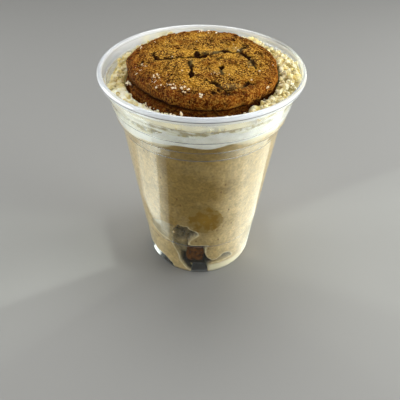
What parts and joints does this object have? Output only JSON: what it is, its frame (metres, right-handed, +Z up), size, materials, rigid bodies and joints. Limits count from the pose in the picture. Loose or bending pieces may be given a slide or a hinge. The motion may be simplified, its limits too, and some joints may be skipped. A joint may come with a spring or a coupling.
{
  "type": "banana pudding cup",
  "caption": "Clear plastic cup of banana pudding with a cream layer, cake crumbs and ginger cookies stacked on top.",
  "frame": {"origin": "middle of the cup's foot, on the surface that it stands on", "axes": "+Z up along the cup's axis, -Y towards the side that the picture shows, +X to its right"},
  "size_m": [0.0984, 0.0984, 0.1186],
  "materials": {
    "clear_plastic": "clear thermoformed plastic, glossy",
    "banana_pudding": "smooth moist pudding, satin",
    "whipped_cream": "soft whipped cream, satin",
    "cake_crumb": "dry pale yellow cake crumb, matte",
    "ginger_cookie_dark": "baked cookie, matte and rough",
    "ginger_cookie": "baked cookie, matte, cracked and rough",
    "banana_slice": "soft ripe banana flesh, satin",
    "wet_cookie": "soaked cookie, satin"
  },
  "bodies": {
    "root": {"cup": "clear_plastic", "pudding": "banana_pudding", "cream": "whipped_cream", "crumbs": "cake_crumb", "cookie_lower": "ginger_cookie_dark", "cookie_upper": "ginger_cookie", "banana_slice": "banana_slice", "cookie_piece": "wet_cookie"}
  },
  "joints": []
}
